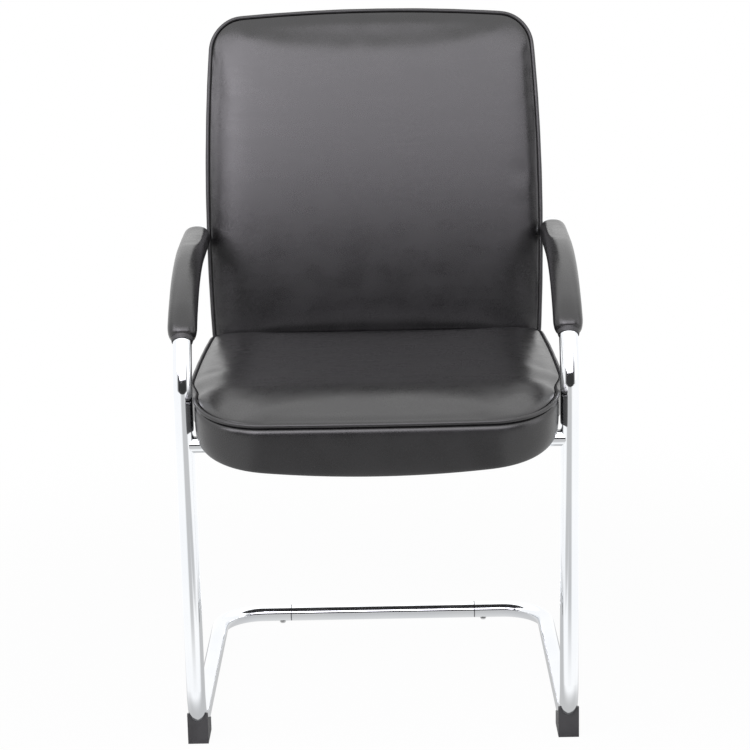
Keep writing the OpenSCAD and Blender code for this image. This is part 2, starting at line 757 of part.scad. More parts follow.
// The back's curve seen from the side, at a depth, between two places along it
curve_steps = 24;
function curve_points(depth, from, to) = [for (k = [0 : curve_steps])
    let (a = lean_at(from + (to - from) * k / curve_steps))
    [curve_y - (back_r - depth) * cos(a), curve_z + (back_r - depth) * sin(a)]];
module curved_panel(front, rear, inset) {
    outline = [for (p = inset_points(back_outline, inset))
               let (q = back_point(p.x, p.y, -rear)) [q.x, q.z]];
    intersection() {
        translate([-frame_w / 2, foot_y, 0]) rotate([90, 0, 90]) linear_extrude(frame_w)
            polygon(concat(curve_points(front, 0, back_l), reversed(curve_points(rear, 0, back_l))));
        translate([0, foot_y + 2 * back_face, 0]) rotate([90, 0, 0])
            linear_extrude(2 * back_face) polygon(outline);
    }
}
module back_board() {
    color(timber) difference() {
        curved_panel(back_board_in, back_board_out, board_inset);
        at_back_bolts(-back_board_out) t_nut_room(board_t);
    }
}

// The rear panel's front face is grooved for the bars' legs
module back_rear_panel() {
    groove = bar_w / 2 + fit_gap;
    color(leather) difference() {
        curved_panel(panel_in, back_t, panel_inset);
        both_sides() translate([bar_x - groove, foot_y, 0]) rotate([90, 0, 90])
            linear_extrude(2 * groove)
                polygon(concat(curve_points(leg_in, -bar_leg, leg_low + bar_leg + fit_gap),
                               reversed(curve_points(leg_out + fit_gap, -bar_leg,
                                                     leg_low + bar_leg + fit_gap))));
    }
}

// Hardwood blocks on the board's front take the arms' bolts
block_edge = 3;
side_block_x = back_side_x - board_inset + block_edge - block_w;
module side_block_shape(gap) {
    translate([side_block_x - gap, 0, 0]) rotate([-arm_tilt, 0, 0])
        translate([0, -block_depth / 2 - gap, -block_h / 2 - gap])
            cube([block_w + 2 * gap, block_depth + 2 * gap, block_h + 2 * gap]);
}
module back_side_block() {
    color(timber) difference() {
        translate([0, foot_y + arm_bolt_y, arm_z]) side_block_shape(0);
        arm_bolt_hole();
        translate([insert_x - 2, foot_y + arm_bolt_y, arm_z]) rotate([0, 90, 0])
            cylinder(d = nut_d + thread_gap, h = insert_l + 2, $fn = 32);
    }
}

// The support bar's side outline: a flat, a bend and a leg along the back's curve
bar_bend_r = 16;
bar_mid = bar_low + bar_t / 2;
leg_r = back_r - (leg_in + leg_out) / 2;
bend_angle = asin((bar_mid + bar_bend_r - curve_z) / (leg_r + bar_bend_r));
bend_y = curve_y - (leg_r + bar_bend_r) * cos(bend_angle);
bar_front = -32;
leg_low = (bend_angle - back_lean) / 180 * PI * back_r;
function bar_face(away, depth) = concat(
    [[bar_front, bar_mid - away]],
    arc_points(bend_y, bar_mid + bar_bend_r, bar_bend_r + away, -90, 8, 90 - bend_angle),
    [for (p = curve_points(depth, leg_low + bar_t, leg_low + bar_leg)) p]);
module support_bar() {
    color(painted) difference() {
        translate([bar_x - bar_w / 2, foot_y, 0]) rotate([90, 0, 90]) linear_extrude(bar_w)
            polygon(concat(bar_face(bar_t / 2, leg_out), reversed(bar_face(-bar_t / 2, leg_in))));
        at_seat_bolts(bar_low - 1) cylinder(d = bolt_d + screw_play, h = bar_t + 2, $fn = 32);
        at_back_bolts(-leg_out - fit_gap) {
            cylinder(d1 = flat_head_d + 4 * fit_gap, d2 = bolt_d + screw_play,
                     h = flat_head_h + fit_gap, $fn = 32);
            cylinder(d = bolt_d + screw_play, h = 2 * bar_t, $fn = 32);
        }
    }
}

// Room for a bar's leg where it enters the back's lower edge
module leg_slot() {
    at_back(0, 0, -leg_out - 2 * fit_gap) translate([-bar_w / 2 - fit_gap, -hem_w, 0])
        cube([bar_w + 2 * fit_gap, 3 * hem_w, bar_t + 4 * fit_gap]);
}

// Flat-headed bolts hold the back's board to the legs
flat_head_d = 12;
flat_head_h = 3;
back_bolt_v = [62, 112];
module at_back_bolts(w) {
    for (x = [-bar_x, bar_x], v = back_bolt_v) at_back(x, v, w) children();
}
module back_bolts() {
    color(zinc) at_back_bolts(-leg_out) flat_bolt(bar_t + board_t, flat_head_d, flat_head_h);
}
module back_t_nuts() {
    color(zinc) at_back_bolts(-back_board_out + saddle_gap) t_nut(board_t - saddle_gap);
}

// The padded sleeve follows the knee, the wide bend and the level run: angle turned from
// the upright, and length along the level run
pad_start = asin((arm_z - pad_low - knee_z) / knee_r);
pad_level_l = pad_rear + upright_shift - knee_reach - arm_reach;
pad_turns = [for (k = [1 : 4]) pad_start + (knee_turn - pad_start) * k / 4];
arm_turns = [for (k = [1 : 6]) knee_turn + knee_slope * k / 6];
function pad_place(turn, run) = let (
    a = min(turn, knee_turn),
    b = max(turn, knee_turn))
    [knee_r * (1 - cos(a)) + arm_bend_r * (cos(knee_turn) - cos(b)) + run * sin(b), 0,
     knee_r * sin(a) + arm_bend_r * (sin(b) - sin(knee_turn)) + run * cos(b)];
// Stations: turn, run and the share of the full section
pad_end = knee_turn + knee_slope;
pad_sides = 12;
pad_round_l = 12;
pad_tip_l = 4;
pad_bore = tube_r + 3 * fit_gap;
foam_least = 0.5;
pad_end_share = 2 * (pad_bore + foam_least + skin_t + fit_gap) / pad_t;
pad_full_share = (1 + pad_end_share) / 2;
pad_stations = concat(
    [[pad_start, 0, pad_end_share], [pad_start + 2.5, 0, pad_full_share]],
    [for (turn = concat(pad_turns, arm_turns)) [turn, 0, 1]],
    [[pad_end, pad_level_l - pad_round_l, 1], [pad_end, pad_level_l - pad_tip_l, pad_full_share],
     [pad_end, pad_level_l, pad_end_share]]);
function pad_ring(station, half_w, half_t, lift, squareness) = let (
    turn = station[0],
    p = pad_place(turn, station[1]),
    out = [-cos(turn), 0, sin(turn)])
    [for (k = [0 : pad_sides - 1]) let (
        a = 360 * k / pad_sides,
        across = half_w * sign(cos(a)) * pow(abs(cos(a)), squareness),
        up = half_t * sign(sin(a)) * pow(abs(sin(a)), squareness) + lift)
        p + up * out + [0, across, 0]];
function pad_rings(less) = [for (s = pad_stations)
    pad_ring(s, s[2] * pad_w / 2 - less, s[2] * pad_t / 2 - less,
             pad_lift * (s[2] - pad_end_share) / (1 - pad_end_share), 0.8)];
bore_rings = [for (s = pad_stations) pad_ring(s, pad_bore, pad_bore, 0, 1)];
module on_arm() {
    from_joint() at_step(tube_steps, knee_step) rotate([0, 0, -splay]) children();
}
module arm_pad() {
    color(leather) on_arm() skin_round(concat(pad_rings(0), reversed(pad_rings(skin_t))));
}
module arm_foam() {
    color(sponge) on_arm()
        skin_round(concat(pad_rings(skin_t + fit_gap), reversed(bore_rings)));
}
collar_lip = 1;
collar_wall = 2.2;
module arm_collar() {
    r = tube_r + fit_gap;
    color(moulded) on_arm() translate(pad_place(pad_start, 0)) rotate([0, pad_start, 0])
        translate([0, 0, -collar_l - saddle_gap]) rotate_extrude($fn = 48)
            polygon([[r, 0], [r + collar_lip, 0], [r + collar_wall, collar_l], [r, collar_l]]);
}

mirror([1, 0, 0]) side_tube();  // side_tube_left
side_tube();  // side_tube_right
rear_cross_tube();
mirror([1, 0, 0]) joint_sleeve();  // joint_sleeve_left
joint_sleeve();  // joint_sleeve_right
joint_screws();
front_seat_rail();
mirror([1, 0, 0]) front_glide();  // front_glide_left
front_glide();  // front_glide_right
mirror([1, 0, 0]) rear_glide();  // rear_glide_left
rear_glide();  // rear_glide_right
mirror([1, 0, 0]) arm_foam();  // arm_foam_left
arm_foam();  // arm_foam_right
mirror([1, 0, 0]) arm_pad();  // arm_pad_left
arm_pad();  // arm_pad_right
mirror([1, 0, 0]) arm_collar();  // arm_collar_left
arm_collar();  // arm_collar_right
mirror([1, 0, 0]) arm_plug();  // arm_plug_left
arm_plug();  // arm_plug_right
arm_bolts();
arm_spacers();
arm_insert_nuts();
seat_board();
seat_foam();
seat_cover();
seat_piping();
seat_dust_cover();
seat_bolts();
seat_t_nuts();
back_board();
mirror([1, 0, 0]) back_side_block();  // back_side_block_left
back_side_block();  // back_side_block_right
back_foam();
back_cover();
back_piping();
back_rear_panel();
back_bolts();
back_t_nuts();
mirror([1, 0, 0]) support_bar();  // support_bar_left
support_bar();  // support_bar_right
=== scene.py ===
# %% [markdown]
# # A visitor chair, dressed around its working model
# The chair is a bent steel tube with two padded cushions, two padded arms and black glides.
# The working model already holds every steel piece at its real size. This script gives those
# pieces their finishes, and makes the soft pieces anew, because cloth over foam swells, pulls
# in at its seams and never looks like a hard solid.

# %% Load the working model
import json
import math

import bpy
import numpy as np
from mathutils import Matrix, Vector


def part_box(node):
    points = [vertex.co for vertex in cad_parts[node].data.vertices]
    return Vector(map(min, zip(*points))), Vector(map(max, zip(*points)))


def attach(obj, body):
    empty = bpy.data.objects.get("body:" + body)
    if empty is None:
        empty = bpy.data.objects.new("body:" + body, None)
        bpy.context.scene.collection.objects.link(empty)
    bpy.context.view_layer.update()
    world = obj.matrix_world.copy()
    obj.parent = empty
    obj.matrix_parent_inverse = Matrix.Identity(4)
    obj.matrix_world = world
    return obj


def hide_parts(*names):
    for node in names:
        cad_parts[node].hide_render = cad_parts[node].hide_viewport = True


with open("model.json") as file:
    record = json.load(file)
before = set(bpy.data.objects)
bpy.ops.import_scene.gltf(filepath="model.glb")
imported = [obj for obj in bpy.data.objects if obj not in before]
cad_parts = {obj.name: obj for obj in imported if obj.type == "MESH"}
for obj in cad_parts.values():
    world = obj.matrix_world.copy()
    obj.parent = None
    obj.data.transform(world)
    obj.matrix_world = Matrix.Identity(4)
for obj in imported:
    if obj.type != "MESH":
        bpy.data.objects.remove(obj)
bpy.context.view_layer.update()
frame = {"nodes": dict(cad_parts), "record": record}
nodes = frame["nodes"]

# %% [markdown]
# ## The camera
# A camera is a place, three angles and a lens. They were found by matching points of the
# frame with the photograph: the uprights, the glides, the rear tube's joints and the back's
# outline. A long lens from three metres away keeps the uprights nearly parallel. The matrix
# is built from the three directions that it looks along, so the small roll is easy to read.

# %% Camera
camera_place = Vector((0.0177, -2.9161, 1.1411))
camera_yaw = -0.0070
camera_pitch = 0.2286
camera_roll = 0.0209
camera_lens = 102.19

forward = Vector((math.sin(camera_yaw) * math.cos(camera_pitch),
                  math.cos(camera_yaw) * math.cos(camera_pitch), -math.sin(camera_pitch)))
level_right = Vector((math.cos(camera_yaw), -math.sin(camera_yaw), 0))
level_down = forward.cross(level_right)
right = math.cos(camera_roll) * level_right + math.sin(camera_roll) * level_down
down = -math.sin(camera_roll) * level_right + math.cos(camera_roll) * level_down

camera_data = bpy.data.cameras.new("camera")
camera_data.lens = camera_lens
camera = bpy.data.objects.new("camera", camera_data)
bpy.context.scene.collection.objects.link(camera)
camera.matrix_world = Matrix.Translation(camera_place) @ Matrix(
    (right, -down, -forward)).transposed().to_4x4()
bpy.context.scene.camera = camera
bpy.context.scene.view_settings.view_transform = "Standard"
print("camera", round(camera_place.length, 2), "m from the chair, lens", camera_lens, "mm")

# %% [markdown]
# ## Shader maths
# A material is a graph of nodes, which is tedious to wire by hand. Here a `Wire` stands for
# one socket, and Python's operators on it add Math nodes, so a pattern reads as a formula.
# `Finish` holds a material while it is written, and its `node` method adds any other node.
# Such a graph could also be drawn in the shader editor and stored in a file, but a formula can
# be read, changed and run again.

# %% Wires
class Wire:
    """An output socket that can be added, scaled and compared like a number."""

    def __init__(self, finish, socket):
        self.finish = finish
        self.socket = socket

    def maths(self, operation, first, second=0.0):
        return self.finish.node("ShaderNodeMath", {"operation": operation}, {0: first, 1: second})

    def __add__(self, other):
        return self.maths("ADD", self, other)

    def __radd__(self, other):
        return self.maths("ADD", other, self)

    def __sub__(self, other):
        return self.maths("SUBTRACT", self, other)

    def __rsub__(self, other):
        return self.maths("SUBTRACT", other, self)

    def __mul__(self, other):
        return self.maths("MULTIPLY", self, other)

    def __rmul__(self, other):
        return self.maths("MULTIPLY", other, self)

    def __truediv__(self, other):
        return self.maths("DIVIDE", self, other)

    def __abs__(self):
        return self.maths("ABSOLUTE", self)

    def most(self, other):
        return self.maths("MAXIMUM", self, other)

    def spread(self, low, high, to_low=0.0, to_high=1.0):
        """Carries low..high smoothly over to to_low..to_high, and stays there beyond them."""
        settings = {"interpolation_type": "SMOOTHSTEP"}
        values = {"Value": self, "From Min": low, "From Max": high, "To Min": to_low,
                  "To Max": to_high}
        return self.finish.node("ShaderNodeMapRange", settings, values)


# %% Finishes
class Finish:
    """A node tree while it is written: a material's or the world's."""

    def __init__(self, owner):
        owner.use_nodes = True
        self.owner = owner
        self.tree = owner.node_tree
        self.tree.nodes.clear()

    def node(self, kind, settings=None, values=None, output=0):
        """Adds a node, sets its settings, then its sockets, and gives one output back."""
        made = self.tree.nodes.new(kind)
        for name, setting in (settings or {}).items():
            setattr(made, name, setting)
        for name, value in (values or {}).items():
            if isinstance(value, Wire):
                self.tree.links.new(value.socket, made.inputs[name])
            else:
                made.inputs[name].default_value = value
        return Wire(self, made.outputs[output]) if len(made.outputs) else None

    def place(self, stretch=(1, 1, 1)):
        """A point of the object in metres, stretched along its axes."""
        point = self.node("ShaderNodeTexCoord", output="Object")
        return self.node("ShaderNodeMapping", None, {"Vector": point, "Scale": stretch})

    def noise(self, scale, detail=2.0, stretch=(1, 1, 1)):
        values = {"Vector": self.place(stretch), "Scale": scale, "Detail": detail}
        return self.node("ShaderNodeTexNoise", None, values)

    def cells(self, scale):
        """Distance to the nearest of many scattered points, so many to the metre."""
        values = {"Vector": self.place(), "Scale": scale}
        return self.node("ShaderNodeTexVoronoi", {"feature": "F1"}, values)

    def parts_of(self, vector):
        """The x, y and z of a vector, as three wires."""
        parted = self.node("ShaderNodeSeparateXYZ", None, {"Vector": vector}).socket.node
        return [Wire(self, output) for output in parted.outputs]

    def rays(self, kind):
        """1 for the rays of a kind, such as Is Camera Ray, and 0 for the rest."""
        return self.node("ShaderNodeLightPath", output=kind)

    def tint(self, share, first, second):
        """A colour between two, by a share from 0 to 1. A colour may be a wire itself."""
        first, second = (c if isinstance(c, Wire) else (*c, 1) for c in (first, second))
        values = {"Factor": share, 6: first, 7: second}
        return self.node("ShaderNodeMix", {"data_type": "RGBA"}, values, output=2)

    def bump(self, height, depth, strength=1.0):
        """A normal tilted by a height from 0 to 1 that stands for a depth in metres."""
        values = {"Height": height, "Distance": depth, "Strength": strength}
        return self.node("ShaderNodeBump", None, values)

    def surface(self, **sockets):
        """Ends the material in a Principled BSDF; a socket's name has _ for each space."""
        values = {name.replace("_", " "): value for name, value in sockets.items()}
        shader = self.node("ShaderNodeBsdfPrincipled", None, values)
        self.end(shader)
        return self.owner

    def end(self, shader):
        is_world = isinstance(self.owner, bpy.types.World)
        self.node("ShaderNodeOutputWorld" if is_world else "ShaderNodeOutputMaterial", None,
                  {"Surface": shader})


def new_finish(name):
    return Finish(bpy.data.materials.new(name))


# %% [markdown]
# ## Black leather
# The covers are a soft coated leather with a fine pebble grain, about a millimetre across. Its
# colour is nearly black, and what the eye sees is the room's light on it, so roughness does
# most of the work. A scanned texture could carry the grain, but it would need unwrapped covers
# and would blur close up. Here cells and finer noise make it as bump, broad noise makes the
# sheen a little uneven, as on leather stretched over foam, and noise that is drawn out across
# the chair stands for fine creases. Round the piping the leather is pulled tight and duller.

# %% Leather
leather_dark = (0.0060, 0.0058, 0.0062)
leather_light = (0.0095, 0.0092, 0.0098)
leather_ior = 1.6
grain_per_metre = 1100
grain_depth = 0.00010
grain_strength = 0.35
grain_dulling = 0.04
pore_per_metre = 2600
pore_share = 0.25
cloud_per_metre = 22
crease_per_metre = 55
crease_share = 0.4
crease_stretch = (0.15, 1, 1)


def leather(name, least_rough, most_rough):
    """The grain's height is 1 less the cells' domes plus the pores. Roughness runs between
    its two limits with the clouds and creases, and rises a little between the pebbles."""
    finish = new_finish(name)
    clouds = finish.noise(cloud_per_metre, 4)
    creases = finish.noise(crease_per_metre, 3, crease_stretch)
    pebbles = finish.cells(grain_per_metre).spread(0.1, 0.75)
    pores = finish.noise(pore_per_metre, 1)
    height = 1 - pebbles * (1 - pore_share) + pores * pore_share
    sheen = clouds * (1 - crease_share) + creases * crease_share
    return finish.surface(
        Base_Color=finish.tint(clouds.spread(0.3, 0.7), leather_dark, leather_light),
        Roughness=sheen.spread(0.35, 0.65, least_rough, most_rough) + pebbles * grain_dulling,
        IOR=leather_ior, Normal=finish.bump(height, grain_depth, grain_strength))


cover_leather = leather("leather", 0.235, 0.275)
piping_leather = leather("piping_leather", 0.30, 0.38)
print("leather grain", round(1000 / grain_per_metre, 2), "mm")

# %% [markdown]
# ## Chrome and the other hard finishes
# Chrome plate is a mirror, and a mirror is only as good as what it reflects, so its own
# settings are plain: metallic, very smooth, and a trace of unevenness from the tube under it.
# Where the pieces of the rear tube meet, a fine dark line of painted shade stands for the
# shadow in the joint. It could be a groove, but the tubes are the working model's own, and a
# mask on their coordinates leaves their mesh alone. Zinc plate on the fasteners is duller and
# slightly mottled.

# %% Chrome
chrome_blue = (0.84, 0.86, 0.89)
chrome_pale = (0.88, 0.895, 0.91)
joint_shadow = (0.10, 0.10, 0.11)
joint_x = 0.144
joint_line = 0.0005
joint_from_y = 0.10
joint_past_y = 0.15
tube_wave = 0.0004


def chrome():
    """Plain plate, with a line of painted shade within a joint line's width of the joints'
    places across the chair, but only at its rear."""
    finish = new_finish("chrome")
    uneven = finish.noise(9, 2)
    haze = finish.noise(240, 3)
    across, along, _ = finish.parts_of(finish.place())
    off_joint = abs(abs(across) - joint_x).spread(joint_line, 2 * joint_line)
    # painted shade: where this mask is 1 the plate takes the dark colour of the shadow in a joint
    joint = (1 - off_joint) * along.spread(joint_from_y, joint_past_y)
    plate = finish.tint(uneven.spread(0.3, 0.7), chrome_blue, chrome_pale)
    return finish.surface(
        Base_Color=finish.tint(joint, plate, joint_shadow), Metallic=1.0,
        Roughness=haze.spread(0.3, 0.8, 0.045, 0.085), Normal=finish.bump(uneven, tube_wave, 0.25))


# %% Zinc
def zinc_plate():
    finish = new_finish("zinc")
    spangle = finish.cells(420)
    return finish.surface(
        Base_Color=finish.tint(spangle, (0.52, 0.53, 0.55), (0.68, 0.68, 0.66)),
        Metallic=1.0, Roughness=finish.noise(600, 3).spread(0.3, 0.7, 0.24, 0.42))


chrome_plate = chrome()
zinc = zinc_plate()
print("metals:", chrome_plate.name, "and", zinc.name)

# %% [markdown]
# ## Plastic, powder coat, wood, foam and cloth
# The glides and collars are moulded plastic with a fine spark texture, and the steel bars
# under the seat are powder coated, which dries like fine orange peel. Board, foam and dust
# cloth hardly show, but a part that is taken apart should still look like what it is. Plain
# colours would do at a distance. A little noise in colour, roughness and bump makes each one
# hold up close.


# %% Black plastic and powder coat
def moulded_plastic():
    finish = new_finish("moulded_black")
    spark = finish.noise(1500, 2)
    wear = finish.noise(35, 3)
    black = finish.tint(wear.spread(0.35, 0.7), (0.030, 0.030, 0.031), (0.042, 0.042, 0.043))
    return finish.surface(Base_Color=black, Roughness=wear.spread(0.3, 0.7, 0.42, 0.55),
                          Normal=finish.bump(spark, 0.00012, 0.5))


def powder_coat():
    finish = new_finish("powder_black")
    peel = finish.noise(500, 3)
    return finish.surface(
        Base_Color=finish.tint(peel, (0.022, 0.022, 0.023), (0.034, 0.034, 0.035)),
        Roughness=peel.spread(0.3, 0.7, 0.38, 0.5), Normal=finish.bump(peel, 0.0001, 0.5))


plastic = moulded_plastic()
powder = powder_coat()
print("black coats:", plastic.name, "and", powder.name)


# %% Wood, foam and cloth
def plywood():
    """Noise drawn out along the board reads as the grain of its top veneer."""
    finish = new_finish("plywood")
    rings = finish.noise(60, 4, (1, 0.08, 1))
    return finish.surface(
        Base_Color=finish.tint(rings.spread(0.3, 0.7), (0.50, 0.34, 0.19), (0.68, 0.51, 0.33)),
        Roughness=rings.spread(0.2, 0.8, 0.55, 0.7), Normal=finish.bump(rings, 0.0003, 0.5))


def open_foam():
    finish = new_finish("foam")
    bubbles = finish.cells(700)
    return finish.surface(
        Base_Color=finish.tint(bubbles, (0.86, 0.80, 0.60), (0.70, 0.63, 0.44)),
        Roughness=0.9, Normal=finish.bump(bubbles, 0.0006, 0.8))


def spun_cloth():
    finish = new_finish("dust_cloth")
    dimples = finish.cells(650)
    strands = finish.noise(1400, 2, (1, 3, 1))
    return finish.surface(
        Base_Color=finish.tint(strands, (0.018, 0.018, 0.018), (0.040, 0.040, 0.041)),
        Roughness=0.85, Normal=finish.bump(dimples + strands * 0.5, 0.00025, 0.8))


wood = plywood()
foam = open_foam()
dust_cloth = spun_cloth()
print("inside:", wood.name + ",", foam.name, "and", dust_cloth.name)

# %% Every piece of the working model gets its finish
finish_of_slot = {
    "chrome": chrome_plate, "zinc": zinc, "moulded_black": plastic, "powder_black": powder,
    "leather_black": cover_leather, "plywood": wood, "foam": foam, "dust_cloth": dust_cloth}
for part in frame["record"]["subparts"]:
    node = nodes[part["node"]]
    node.data.materials.clear()
    node.data.materials.append(finish_of_slot[part["material_slot"]])
print("finishes:", ", ".join(sorted(finish_of_slot)))

# %% [markdown]
# ## Grids
# Each new piece is a surface worked out as a grid of points: rows run along one direction and
# columns along the other. Only the points carry the shape. The faces join each point to its
# neighbours in the next row and column, so one small function serves every piece. Primitives
# and sculpting could make such forms too, but a formula gives the same piece at every run and
# takes its sizes from the chair.

# %% Grids of faces
def quads(index):
    """Faces of a grid of point numbers: each joins a point, its neighbour in the next
    column, and the two above them, turning the way that the columns and rows turn."""
    corners = [index[:-1, :-1], index[:-1, 1:], index[1:, 1:], index[1:, :-1]]
    return np.stack(corners, axis=-1).reshape(-1, 4)


def add_piece(name, points, faces, finish):
    """Makes an object at the origin from points and four-sided faces, shaded smooth."""
    mesh = bpy.data.meshes.new(name)
    mesh.vertices.add(len(points))
    mesh.vertices.foreach_set("co", np.asarray(points, np.float32).ravel())
    mesh.loops.add(faces.size)
    mesh.loops.foreach_set("vertex_index", faces.astype(np.int32).ravel())
    mesh.polygons.add(len(faces))
    mesh.polygons.foreach_set("loop_start", np.arange(0, faces.size, 4, dtype=np.int32))
    mesh.polygons.foreach_set("use_smooth", np.ones(len(faces), bool))
    mesh.update(calc_edges=True)
    mesh.validate()
    mesh.materials.append(finish)
    piece = bpy.data.objects.new(name, mesh)
    bpy.context.scene.collection.objects.link(piece)
    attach(piece, "root")
    print(name, len(points), "points,", len(faces), "faces")
    return piece


def closed(index):
    """Repeats a grid's first column after its last, so that its faces go all the way round."""
    return np.concatenate([index, index[:, :1]], axis=1)


# %% [markdown]
# ## Sizes of the cushions
# The soft pieces must lie exactly where the working model holds their space, so their sizes
# are the ones it was drawn with, in metres. The chair's depth is measured from the foot of
# the uprights, which the front glides give.

# %% Sizes shared by the cushions
glide_front = 0.006
foot_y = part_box("front_glide_right")[0].y - glide_front
foot_z = 0.08137
upright_lean = math.radians(1)
tube_r = 0.0125
frame_w = 0.504
seat_h = 0.488
pipe_r = 0.003
pipe_in = 0.0012
outline_samples = 60
print("uprights stand at y", round(foot_y, 4))


def ease(t):
    """Smooth step: 3 t^2 - 2 t^3 between 0 and 1, level before and after."""
    held = np.clip(t, 0, 1)
    return held * held * (3 - 2 * held)


# %% Outlines
def rounded_outline(half_w, low, high, low_r, high_r):
    """A rectangle with round corners, counterclockwise from the middle of its lower edge:
    four straight runs joined by quarter circles, as points along the right half and their
    mirror images along the left."""
    turn = np.linspace(0, np.pi / 2, outline_samples)
    run = np.linspace(0, 1, outline_samples)
    edge = np.ones(outline_samples)
    low_x, low_y = half_w - low_r, low + low_r
    high_x, high_y = half_w - high_r, high - high_r
    right_half = np.concatenate([
        np.column_stack([run * low_x, edge * low]),
        np.column_stack([low_x + low_r * np.sin(turn), low_y - low_r * np.cos(turn)]),
        np.column_stack([edge * half_w, low_y + run * (high_y - low - low_r)]),
        np.column_stack([high_x + high_r * np.cos(turn), high_y + high_r * np.sin(turn)]),
        np.column_stack([(1 - run) * high_x, edge * high])])
    return np.concatenate([right_half, right_half[-2:0:-1] * [-1, 1]])


def ring_of(outline, warp, steps):
    """Points spaced evenly by length round a warped outline, with as many steps to each of
    its four sides. The sides meet in the middle of the round corners."""
    ways = ((-1, -1), (1, -1), (1, 1), (-1, 1))
    corners = [int(np.argmax(outline @ np.array(way))) for way in ways]
    turned = np.roll(warp(outline), -corners[0], axis=0)
    stops = [(corner - corners[0]) % len(outline) for corner in corners] + [len(outline)]
    loop = np.concatenate([turned, turned[:1]])
    length = np.concatenate([[0], np.cumsum(np.linalg.norm(np.diff(loop, axis=0), axis=1))])
    marks = np.concatenate([np.linspace(length[a], length[b], steps, endpoint=False)
                            for a, b in zip(stops[:-1], stops[1:])])
    return np.column_stack([np.interp(marks, length, loop[:, k]) for k in (0, 1)])


def outward(ring):
    """Unit normals of a counterclockwise ring: its direction turned a quarter to the right."""
    along = np.roll(ring, -1, axis=0) - np.roll(ring, 1, axis=0)
    along = (np.roll(along, 1, axis=0) + 2 * along + np.roll(along, -1, axis=0)) / 4
    out = np.column_stack([along[:, 1], -along[:, 0]])
    return out / np.linalg.norm(out, axis=1, keepdims=True)


# %% Filling a ring, and smoothing a row of points
evening_rounds = 60


def fill_ring(ring, steps):
    """A square grid stretched over a ring, as a Coons patch: the two rulings between opposite
    sides added, less the bilinear sheet between the corners. Averaging each inner point with
    its neighbours then evens the spacing."""
    loop = np.concatenate([ring, ring[:1]])
    front, side, rear, other = (loop[k * steps:(k + 1) * steps + 1] for k in range(4))
    rear, other = rear[::-1], other[::-1]
    u = np.linspace(0, 1, steps + 1)[:, None, None]
    v = np.linspace(0, 1, steps + 1)[None, :, None]
    ruled = (1 - v) * front[:, None] + v * rear[:, None] + (1 - u) * other[None] + u * side[None]
    sheet = ((1 - u) * (1 - v) * front[0] + u * (1 - v) * front[-1]
             + (1 - u) * v * rear[0] + u * v * rear[-1])
    grid = ruled - sheet
    for _ in range(evening_rounds):
        grid[1:-1, 1:-1] = (grid[2:, 1:-1] + grid[:-2, 1:-1] + grid[1:-1, 2:]
                            + grid[1:-1, :-2]) / 4
    return grid


def smooth_run(points, per_step):
    """Catmull-Rom curve: each stretch is the cubic that passes two neighbouring points with
    the slopes of the lines between the points on either side of them."""
    p = np.concatenate([2 * points[:1] - points[1:2], points, 2 * points[-1:] - points[-2:-1]])
    t = np.linspace(0, 1, per_step, endpoint=False)[None, :, None]
    a, b, c, d = (p[k:k + len(points) - 1, None] for k in range(4))
    run = (2 * b + (c - a) * t + (2 * a - 5 * b + 4 * c - d) * t ** 2
           + (3 * b - a - 3 * c + d) * t ** 3) / 2
    return np.concatenate([run.reshape(-1, points.shape[1]), points[-1:]])


# %% [markdown]
# ## How a cushion is put together
# A box cushion is a top panel and a bottom, sewn to a strip that runs round its edge, the
# boxing. The mesh follows that: a grid for the bottom, rings that climb the boxing and dip
# into the groove behind the piping, and a grid for the top. The rings come from a short
# profile of rows, smoothed, and the top rises from its seam as a power of the distance from
# the edges, which is steep at the seam and nearly flat in the middle, like cloth over foam.
# A rounded box with a subdivision surface would be quicker, but it has no seam, and the
# groove that the piping lies in would have to be pushed into it by hand.

# %% The cushion function
crown_power = 0.38


def cushion(name, ring, steps, rows, low, high, crown, swell, place):
    """A closed padded form. Row by row it goes inset, share of the wall's height, lift and
    share of the swell; the ring is moved in by the inset, out by the swell, and set at
    low + share * (high - low) + lift. The top is high + lift + crown * e^power, where e is
    16 u (1 - u) v (1 - v). Place carries the flat form to its place on the chair. The point
    numbers of the wall's rings and of the bottom's grid come back with the piece."""
    inset, share, lift, swollen = (rows[:, k, None] for k in range(4))
    at = ring - outward(ring) * (inset - swell(ring) * swollen)[..., None]
    floor = low(at)
    walls = np.concatenate([at, (floor + share * (high(at) - floor) + lift)[..., None]], axis=2)
    under = fill_ring(walls[0, :, :2], steps)
    over = fill_ring(walls[-1, :, :2], steps)
    u = np.linspace(0, 1, steps + 1)
    bow = 4 * u * (1 - u)
    rise = crown * np.outer(bow, bow) ** crown_power
    bottom = np.concatenate([under, low(under)[..., None]], axis=2)
    top = np.concatenate([over, (high(over) + rows[-1, 2] + rise)[..., None]], axis=2)

    size = (steps + 1) ** 2
    grid = np.arange(size).reshape(steps + 1, steps + 1).T
    rim = np.concatenate([grid[0, :-1], grid[:-1, -1], grid[-1, :0:-1], grid[:0:-1, 0]])
    middle = size + np.arange((len(rows) - 2) * len(ring)).reshape(len(rows) - 2, len(ring))
    top_start = size + middle.size
    rings = np.concatenate([rim[None], middle, top_start + rim[None]])
    faces = np.concatenate([quads(grid)[:, ::-1], quads(closed(rings)), quads(grid + top_start)])
    flat = np.concatenate([bottom.reshape(-1, 3), walls[1:-1].reshape(-1, 3), top.reshape(-1, 3)])
    piece = add_piece(name, place(flat), faces, cover_leather)
    return piece, rings, grid


# %% [markdown]
# ## Stuffing the covers
# Cloth simulation blows a cover up as foam does from inside: a little pressure pushes the
# leather out and puckers it beside the seams, while the seams hold. The creases could be
# sculpted or come from noise, but cloth puts them where a real cover has them. No gravity is
# needed, because foam carries the weight. The underside, the firm boxing and the seam in the
# piping's groove are held still, stiff bending keeps the creases few and wide, and a cap on
# how far a point may move keeps the form inside its real size.

# %% Cloth
stuffing_frames = 20
cover_stiffness = 12.0
least_length = 1e-9


